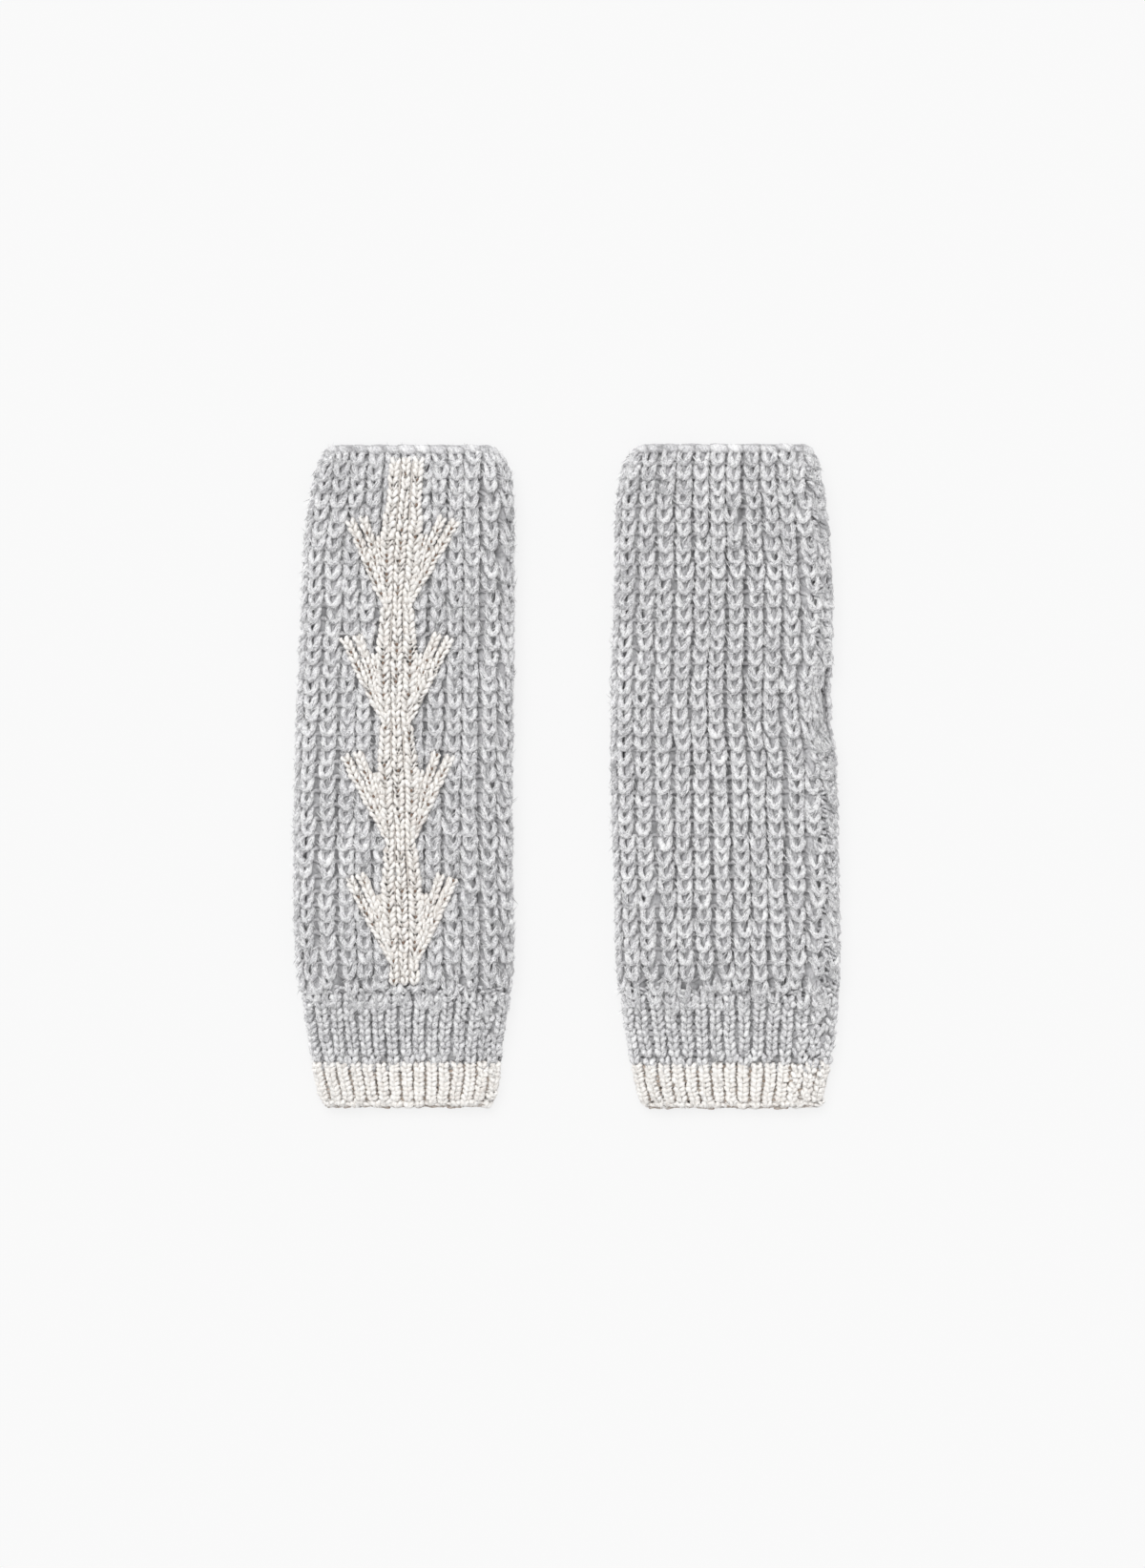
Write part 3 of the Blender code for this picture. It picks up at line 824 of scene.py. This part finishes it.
FINE_RIBS_ON_TOP = 18
CUFF_COURSES = 10
BAND_COURSES = 9
FINE_TWIST = 1800.0
BAND_PLIES, PLY_DEPTH = 3.0, 0.12
CUFF_STITCH = (
    (-0.50, -0.15, 2.70, 0.50),
    (-0.34, -0.20, 2.30, 0.60),
    (-0.13, -0.12, 1.60, 0.85),
    (-0.130, 0.13, 1.00, 1.10),
    (-0.205, 0.48, 0.80, 1.22),
    (-0.268, 0.84, 1.10, 1.05),
    (-0.24, 1.10, 1.80, 0.75),
    (0.00, 1.20, 2.10, 0.60),
)
BAND_STITCH = (
    (-0.50, -0.15, 2.55, 0.50),
    (-0.34, -0.20, 2.20, 0.60),
    (-0.12, -0.16, 1.50, 0.80),
    (-0.085, 0.10, 0.95, 1.02),
    (-0.19, 0.46, 0.75, 1.16),
    (-0.290, 0.84, 1.05, 1.04),
    (-0.25, 1.10, 1.70, 0.75),
    (0.00, 1.20, 2.00, 0.60),
)
FINE_KNIT = {
    "layers": (
        ("knit", 0, FINE_RIBS_ON_TOP, 1.2, 6),
        ("underside", FINE_RIBS_ON_TOP, RIBS["cuff"], 0.8, 4),
    ),
    "uneven": 0.028,
    "sway": 0.02,
    "tone": 1.2,
    "seam_drop": 0.0,
    # how deep the yarn reads for its painted shade, as a share of its depth
    "painted_shade_depth": 0.8,
}
CUFF_KNIT = FINE_KNIT | {
    "stitch": CUFF_STITCH,
    "courses": CUFF_COURSES,
    "first_course": -1,
    "seed": 21,
    "end_drops": {-1: 1.3, CUFF_COURSES - 1: 0.3},
}
BAND_KNIT = FINE_KNIT | {
    "stitch": BAND_STITCH,
    "courses": BAND_COURSES,
    "first_course": 0,
    "seed": 28,
    "end_drops": {BAND_COURSES - 1: 0.3},
}
cream_yarn = wool(
    "cream plied yarn",
    dark=(0.76, 0.71, 0.67),
    mid=(0.95, 0.918, 0.878),
    light=(1.0, 0.98, 0.955),
    shadow=(0.25, 0.18, 0.14),
    shadow_span=(-3.1, -1.35),
    fibre_scale=520.0,
    bleeding=0.25,
    sheen=0.0,
    contrast=1.5,
)

for side in SIDES:
    for layer, sides, strands in rib_layers(side, "cuff", CUFF_KNIT):
        look = yarn_look(grey_wool, sides, FINE_TWIST)
        piece = laid_yarn(f"{side}_cuff_{layer}", strands, look)
        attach(piece, "root")
        knits[side, "cuff"].append(piece)
    for layer, sides, strands in rib_layers(side, "band", BAND_KNIT):
        look = yarn_look(cream_yarn, sides, FINE_TWIST, BAND_PLIES, PLY_DEPTH)
        piece = laid_yarn(f"{side}_band_{layer}", strands, look)
        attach(piece, "root")
        knits[side, "band"].append(piece)

# Where the ribs change
# The last fine row and the first broad one meet in a ragged row of small purl bumps, which
# are short level arcs of the grey yarn.

BUMPS_ROUND = 64
BUMP_SPAN = (45.2 * MM, 49.0 * MM)
BUMP_SEED = 61


def short_strand(side, share, rise, deep, size, tone, calm=False):
    """A strand through a few points of the cloth, which sinks with it beside the arrows
    where calm is set."""
    share, rise, deep, size = through(np.stack([share, rise, deep, size], 1), 2).T
    sunk = calm_drop(side, rise, share) if calm else 0.0
    return on_cloth(side, rise, share, -deep - sunk), size, -deep, tone


def change_row(side):
    """Short level arcs of yarn, spread round the foot of the body."""
    draw = np.random.default_rng(BUMP_SEED)
    strands = []
    for bump in range(2 * BUMPS_ROUND):
        stray = draw.normal(0, 1, 4)
        middle = (bump * 0.5 + 0.5 + 0.25 * stray[0]) / BUMPS_ROUND
        share = np.clip(middle + ARC * (0.9 + 0.2 * stray[1]) / BUMPS_ROUND, 0.002, 0.998)
        rise = draw.uniform(*BUMP_SPAN) + (0.9 * (1 - 4 * ARC**2) + 1.2 * stray[2] * ARC) * MM
        deep = 1.1 + 5.0 * ARC**2 + draw.normal(0, 0.2)
        size = 0.80 - 1.1 * ARC**2 + draw.normal(0, 0.05, 5)
        tone = 1.5 * stray[3]
        strands.append(short_strand(side, share, rise, deep * MM, size * MM, tone, calm=True))
    return strands


for side in SIDES:
    look = yarn_look(grey_wool, sides=5, twist=GREY_TWIST)
    piece = laid_yarn(f"{side}_change_row", change_row(side), look)
    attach(piece, "root")
    knits[side, "body"].append(piece)

# The cream arrows
# Narrow columns of small cream stitches, worked over the grey ribs. Each stitch is a V of
# two short legs, and the gaps between them show brown painted shade.

CORD_PITCH = 2.6
CORD_LEG = (  # across in widths, along in pitches, then depth and radius in mm
    (-0.08, -0.08, 1.05, 0.60),
    (-0.14, 0.12, 0.45, 0.86),
    (-0.25, 0.48, 0.05, 1.00),
    (-0.34, 0.84, 0.30, 0.86),
    (-0.28, 1.05, 1.05, 0.60),
)
CORD_TWIST = 2600.0
CORD_SEED = 5
CORD_END = 0.6  # mm of a cord's ends that share one direction
LEG_SIZE, LEG_WIDENING = 0.50, 0.100  # the second for each mm of the cord's width
THIN_LEGS, THIN_SIZE = 0.11, 0.45  # how many legs are thin, and how thin
# Hollows are spots of painted shade: short strands near the face, dark where a hole would be
HOLLOW_CHANCE, HOLLOW_CHANCE_JOINED = 0.14, 0.24  # the second is added in an arrowhead
HOLLOW_SIZE = 0.82  # of the legs beside a hollow
HOLLOW_STEPS = np.array((-0.6, 0.0, 0.6))
HOLLOW_GIRTH = np.array((0.4, 0.64, 0.4))
HOLLOW_DEPTH = 0.1  # in mm, while its painted shade is that of yarn much deeper
HOLLOW_SHADE = -3.1 * MM
BACK_PLACES = (-0.34, 0.0, 0.34)  # of the strands behind the legs, in widths
BACK_DEPTH = 1.2  # in mm
SLIT_OFF = 0.36  # of the strands between the stem's columns, brown with painted shade, in its halves
SLIT_DEPTH, SLIT_SHADE, SLIT_GIRTH = -1.35 * MM, -1.8 * MM, 0.6 * MM


def share_at(side, along, x):
    """The share of the way round, on the upper layer, that lies at x."""
    outer = lies[side]["outer"]
    found = np.zeros(len(along))
    for i in range(len(along)):
        row = outer[min(int(along[i] / LIE_STEP), len(outer) - 1), : LIE_SHARES // 2, 0]
        found[i] = np.interp(-x[i], -row, np.arange(len(row)) / LIE_SHARES)
    return found


def cord_strands(cord, draw):
    """The legs of a cord's stitches, dark spots of painted shade for its hollows, and the yarn
    carried behind them.
    """
    steps = np.hypot(np.diff(cord[:, 0]), np.diff(cord[:, 1]))
    run = np.concatenate(([0.0], np.cumsum(steps)))
    count = max(2, int(round(run[-1] / CORD_PITCH)))
    pitch = run[-1] / count
    strands = []

    def at_run(place, column):
        return np.interp(place, run, cord[:, column])

    def laid(at, across, depth, girth, tone):
        held = np.clip(at, CORD_END, run[-1] - CORD_END)
        ahead_x = at_run(held + 0.5, 0) - at_run(held - 0.5, 0)
        ahead_y = at_run(held + 0.5, 1) - at_run(held - 0.5, 1)
        size = np.hypot(ahead_x, ahead_y)
        over = at - np.clip(at, 0, run[-1])
        x = at_run(at, 0) + (ahead_y * across + ahead_x * over) / size
        along = (at_run(at, 1) + (-ahead_x * across + ahead_y * over) / size) * MM
        place = on_cloth("left", along, share_at("left", along, x * MM), -depth * MM)
        # the painted shade is read from nine tenths of the leg's own depth and 0.5 mm more
        return place, girth * MM, -(depth * 0.9 + 0.5) * MM, tone

    for k in range(count):
        stray = draw.normal(0, 1, 4)
        width, rise = at_run((k + 0.5) * pitch, 2), at_run((k + 0.5) * pitch, 1)
        painted_hollow = draw.random() < HOLLOW_CHANCE + HOLLOW_CHANCE_JOINED * stem_joined(rise)
        for hand in (1, -1):
            rows = np.array(CORD_LEG)
            rows[:, 0] *= hand
            rows[:, 0] += draw.normal(0, 0.02, len(rows))
            rows[:, 2] += draw.normal(0, 0.14)
            rows[:, 3] *= 1 + draw.normal(0, 0.10, len(rows))
            across, along, depth, girth = through(rows, 2).T
            at = (k + along + stray[0] * 0.09 + draw.normal(0, 0.09)) * pitch
            tone = 1.5 * stray[2] + draw.normal(1.8, 1.2)
            size = LEG_SIZE + LEG_WIDENING * width
            size *= THIN_SIZE if draw.random() < THIN_LEGS else 1.0
            size *= HOLLOW_SIZE if painted_hollow else 1.0
            strands.append(laid(at, across * width + stray[1] * 0.2, depth, girth * size, tone))
        # painted shade: a dark spot of three short strands at the face, shaded like yarn far deeper
        if painted_hollow:
            at = (k + 0.5) * pitch + draw.normal(0, 0.2) + HOLLOW_STEPS
            across = 0.15 * draw.normal(0, 1, 3)
            place, girth, _, tone = laid(at, across, np.full(3, HOLLOW_DEPTH), HOLLOW_GIRTH, 0.0)
            strands.append((place, girth, HOLLOW_SHADE, tone))
    at = np.linspace(0.4, run[-1] - 0.4, max(3, int(run[-1] / 1.7)))
    width = at_run(at, 2)
    for place in BACK_PLACES:
        across = place * width + draw.normal(0, 0.15, len(at))
        strands.append(laid(at, across, np.full(len(at), BACK_DEPTH), 0.20 * width + 0.15, 0.0))
    return strands


draw = np.random.default_rng(CORD_SEED)
strands = [strand for cord in cream_cords for strand in cord_strands(cord, draw)]
# strands of brown painted shade along the slits between the stem's columns
rows = np.arange(STEM_SPAN[0] + 1, STEM_SPAN[1] - 1, 2.0)
for hand in (-1, 1):
    x = stem_middle(rows) + hand * SLIT_OFF * np.array([stem_half(a) for a in rows])
    share = share_at("left", rows * MM, x * MM)
    place = on_cloth("left", rows * MM, share, np.full(len(rows), SLIT_DEPTH))
    strands.append((place, SLIT_GIRTH, SLIT_SHADE, -1.0))
look = yarn_look(cream_yarn, sides=5, twist=CORD_TWIST)
arrows = laid_yarn("left_arrow_stitches", strands, look)
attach(arrows, "root")
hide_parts("left_arrow")

# The bound-off edge and the cast-on edge
# The finger end closes with a chain of slanting links, one to a rib, rolled over the edge.
# The wrist end starts with a thin cast-on line of the cream yarn.

LINK_ACROSS = np.array((-0.15, 0.2, 0.5, 0.85, 1.15))
LINK_SLANT = np.array((-0.5, -0.25, 0.0, 0.25, 0.1))
LINK_DIVE = np.array((0.9, 0.15, 0.0, 0.15, 0.9))
LINK_GIRTH = np.array((0.75, 0.98, 1.05, 0.98, 0.75))
# two rows of links at each end: height, slant, depth, radius and unevenness in mm, and a seed
BOUND_ROWS = ((-2.4, 1.0, 1.35, 1.75, 0.2, 3), (-1.6, -0.5, 2.2, 1.5, 0.2, 4))
# the lower cast-on row lies deep, so its painted shade makes it a brown line along the edge
CAST_ON_ROWS = ((1.5, 1.0, 1.2, 0.75, 0.3, 5), (0.7, -0.6, 2.4, 0.7, 0.35, 6))


def edge_links(side, links, end, rows):
    """Rows of slanting links round an open end of a mitten."""
    strands = []
    for height, slant, depth, radius, uneven, seed in rows:
        draw = np.random.default_rng(seed)
        for link in range(links):
            stray = draw.normal(0, 1, 4)
            share = np.clip(LINK_ACROSS + link + stray[0] * 0.04, 0.05, links - 0.05) / links
            rise = end + (height + slant * LINK_SLANT + stray[1] * uneven) * MM
            deep = (depth + LINK_DIVE * radius) * MM
            size = radius * LINK_GIRTH * (1 + stray[2] * 0.08) * MM
            strands.append(short_strand(side, share, rise, deep, size, stray[3] - 1.0))
    return strands


for side in SIDES:
    links = edge_links(side, RIBS["body"], lies[side]["length"], BOUND_ROWS)
    look = yarn_look(grey_wool, sides=8, twist=GREY_TWIST)
    piece = laid_yarn(f"{side}_bound_edge", links, look)
    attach(piece, "root")
    knits[side, "body"].append(piece)

    links = edge_links(side, 2 * RIBS["band"], 0.0, CAST_ON_ROWS)
    look = yarn_look(cream_yarn, sides=6, twist=FINE_TWIST)
    piece = laid_yarn(f"{side}_cast_on", links, look)
    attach(piece, "root")
    knits[side, "band"].append(piece)

# The join of the right mitten
# The two side edges are drawn together there with slanting stitches that cross the last
# ribs. Over the thumb opening they stop, and the edge of the cloth is bound instead.

SEAM_WIDE = 1.45  # in ribs
SEAM_STEP = 2.0 * MM
SEAM_SEED = 41
THUMB_STITCH = 7.5 * MM  # how long the upright ones are


def seam_strands():
    """Slanting strands over the join, and upright ones along the thumb opening."""
    draw = np.random.default_rng(SEAM_SEED)
    start, end = PART_SPAN["body"]
    strands = []
    for place in np.arange(start + 1 * MM, end, SEAM_STEP):
        over_thumb = THUMB_LOW < place < THUMB_HIGH
        for strand in range(3 if over_thumb else 2):
            stray = draw.normal(0, 1, 4)
            if over_thumb:
                rough = 0.05 * draw.normal(0, 1, 5)
                across = 0.42 + 0.38 * strand + 0.12 * ARC + 0.06 * stray[0] + rough
                rise = place + ARC * THUMB_STITCH + 0.4 * MM * stray[1]
            else:
                middle = 0.38 + 0.62 * strand + 0.15 * stray[0]
                across = middle + ARC * (0.60 + 0.12 * stray[2])
                rise = place + (ARC * (2.6 + 2.4 * stray[1]) + draw.normal(0, 0.3, 5)) * MM
            deep = 0.95 + 3.6 * ARC**2 + 0.25 * stray[3] + draw.normal(0, 0.08, 5)
            size = 0.82 - 0.9 * ARC**2 + draw.normal(0, 0.06, 5)
            share = np.clip(across, 0.08, SEAM_WIDE) / RIBS["body"]
            tone = draw.normal(2.5 if over_thumb else -3.5, 3.0)
            strands.append(short_strand("right", share, rise, deep * MM, size * MM, tone))
    return strands


seam = laid_yarn("right_join", seam_strands(), yarn_look(grey_wool, sides=6, twist=GREY_TWIST))
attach(seam, "root")
knits["right", "body"].append(seam)

# The loose fibres of the grey wool
# Short fine fibres lie along the stitches of body and cuff and lift a little off them. They
# are lighter and darker than the yarn, and blur its outline.

FIBRE_RADIUS = 0.18 * MM
SHORTEST_FIBRE = 1.2 * MM
FIBRE_LIFT = 0.22
FACING = 0.45  # how far up a face looks that carries fibres
DEEPEST = -1.9  # how deep the yarn lies, in mm, that carries the lowest fibres
FIBRES = {"body": (1.33e6, 3.6 * MM), "cuff": (0.55e6, 2.4 * MM)}  # how many a square metre, longest


def fibre_tree():
    """Scatters fine closed fibres over the upper stitches, mostly along their yarn."""
    inputs = {"Knit": "Geometry", "Per Square Metre": "Float", "Deepest": "Float"}
    inputs |= {"Longest": "Float", "Straying": "Float", "Seed": "Int", "Wool": "Material"}
    tree = tree_with("loose fibres", inputs, "Fibres")
    given = node(tree, "NodeGroupInput").outputs
    raised = worked(tree, "GREATER_THAN", read(tree, "depth"), given["Deepest"])
    facing = node(tree, "GeometryNodeInputNormal").outputs["Normal"]
    facing = node(tree, "ShaderNodeSeparateXYZ", {"Vector": facing}).outputs["Z"]
    shown = worked(tree, "MULTIPLY", raised, worked(tree, "GREATER_THAN", facing, FACING))
    scatter = {"Mesh": given["Knit"], "Selection": shown, "Seed": given["Seed"]}
    scatter |= {"Density": given["Per Square Metre"]}
    points = node(tree, "GeometryNodeDistributePointsOnFaces", scatter).outputs

    def drawn(inputs, output, data_type="FLOAT"):
        return node(tree, "FunctionNodeRandomValue", inputs, data_type=data_type).outputs[output]

    cube = {"Min": (-1.0, -1.0, -1.0), "Max": (1.0, 1.0, 1.0), "Seed": given["Seed"]}
    stray = drawn(cube, "Value", "FLOAT_VECTOR")
    stray = vector_worked(tree, "SCALE", {0: stray, "Scale": given["Straying"]})
    lean = vector_worked(tree, "ADD", {0: read(tree, "heading", "FLOAT_VECTOR"), 1: stray})
    up = vector_worked(tree, "SCALE", {0: points["Normal"], "Scale": FIBRE_LIFT})
    lean = vector_worked(tree, "ADD", {0: lean, 1: up})
    turned = node(tree, "FunctionNodeAlignRotationToVector", {"Vector": lean}, axis="Z")
    cone = {"Vertices": 3, "Radius Top": 0.0, "Radius Bottom": FIBRE_RADIUS, "Depth": 1.0}
    fibre = node(tree, "GeometryNodeMeshCone", cone, fill_type="NGON").outputs["Mesh"]
    size = drawn({"Min": SHORTEST_FIBRE, "Max": given["Longest"], "Seed": 7}, 1)
    scale = node(tree, "ShaderNodeCombineXYZ", {"X": 1.0, "Y": 1.0, "Z": size}).outputs[0]
    laid = {"Points": points["Points"], "Instance": fibre, "Rotation": turned.outputs[0]}
    spread = node(tree, "GeometryNodeInstanceOnPoints", laid | {"Scale": scale})
    shade = drawn({"Min": 0.0, "Max": 1.0, "Seed": 3}, 1)
    spread = stored(tree, spread.outputs["Instances"], "shade", shade, "FLOAT", "INSTANCE")
    node(tree, "NodeGroupOutput", {"Fibres": finished(tree, spread, given["Wool"])})
    return tree


def fibre_wool():
    """Single wool fibres, from grey to nearly white."""
    material, shader = new_material("single wool fibres")
    tree = material.node_tree
    shade = node(tree, "ShaderNodeAttribute", attribute_name="shade").outputs["Fac"]
    tones = tone_ramp(tree, shade, (0.0, (0.22, 0.22, 0.23)), (0.75, (0.92, 0.92, 0.92)))
    set_inputs(shader, {"Base Color": tones, "Roughness": 0.7})
    return material


loose_fibres = fibre_tree()
single_wool = fibre_wool()

for side in SIDES:
    for part, (dense, longest) in FIBRES.items():
        upper_layer = knits[side, part][0]
        bearer = in_scene("fibre bearer", upper_layer.data.copy())
        given = {
            "Per Square Metre": dense,
            "Deepest": DEEPEST,
            "Longest": longest,
            "Straying": 0.55,
            "Seed": 17,
            "Wool": single_wool,
        }
        piece = baked_piece(bearer, loose_fibres, given, f"{side}_{part}_fibres")
        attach(piece, "root")

# The floor, the light and the camera
# A plain pale surface under a bright, even sky, seen straight from above as in the photo.

PIXEL = 0.39 * MM
PHOTO_WIDE, PHOTO_TALL = 1200, 1643
PAIR_MIDDLE = (595, 813)  # the pair's middle, in the photo's pixels
CAMERA_HEIGHT = 3.0
SENSOR = 36.0
FLOOR_GLOW = 0.78
FLOOR_TONE = 0.14
FLOOR_REACH = 3.0
FLOOR_DROP = 0.3 * MM
SKY_STRENGTH = 0.80
SUN_ENERGY = 1.60
SUN_PLACE = (-0.5, 0.9, 1.5)
SUN_TILT = (-31, -16)  # degrees about X and Y
SUN_BREADTH = 50  # degrees, for soft shadows
WHITE = (1.0, 1.0, 1.0, 1.0)

paper, surface = new_material("pale floor")
paper_look = {
    "Base Color": (FLOOR_TONE, FLOOR_TONE, FLOOR_TONE, 1.0),
    "Roughness": 1.0,
    "Specular IOR Level": 0.0,
    "Emission Color": WHITE,
    "Emission Strength": FLOOR_GLOW,
}
set_inputs(surface, paper_look)
around = ((-1, -1), (1, -1), (1, 1), (-1, 1))
corners = [(FLOOR_REACH * x, FLOOR_REACH * y, -FLOOR_DROP) for x, y in around]
floor = plain_mesh("floor", corners, [(0, 1, 2, 3)], paper)

sky = bpy.data.worlds.new("studio")
sky.use_nodes = True
set_inputs(sky.node_tree.nodes["Background"], {"Color": WHITE, "Strength": SKY_STRENGTH})
bpy.context.scene.world = sky

lamp = bpy.data.lights.new("softbox", "SUN")
lamp.angle = math.radians(SUN_BREADTH)
lamp.energy = SUN_ENERGY
softbox = in_scene("softbox", lamp)
softbox.location = SUN_PLACE
softbox.rotation_euler = (math.radians(SUN_TILT[0]), math.radians(SUN_TILT[1]), 0)

lens = bpy.data.cameras.new("camera")
lens.sensor_width = SENSOR
lens.lens = SENSOR * CAMERA_HEIGHT / (PHOTO_TALL * PIXEL)
lens.clip_end = 20.0
camera = in_scene("camera", lens)
camera.location = (
    (PHOTO_WIDE / 2 - PAIR_MIDDLE[0]) * PIXEL,
    (PAIR_MIDDLE[1] - PHOTO_TALL / 2) * PIXEL,
    CAMERA_HEIGHT,
)
bpy.context.scene.camera = camera
bpy.context.scene.view_settings.view_transform = "Standard"
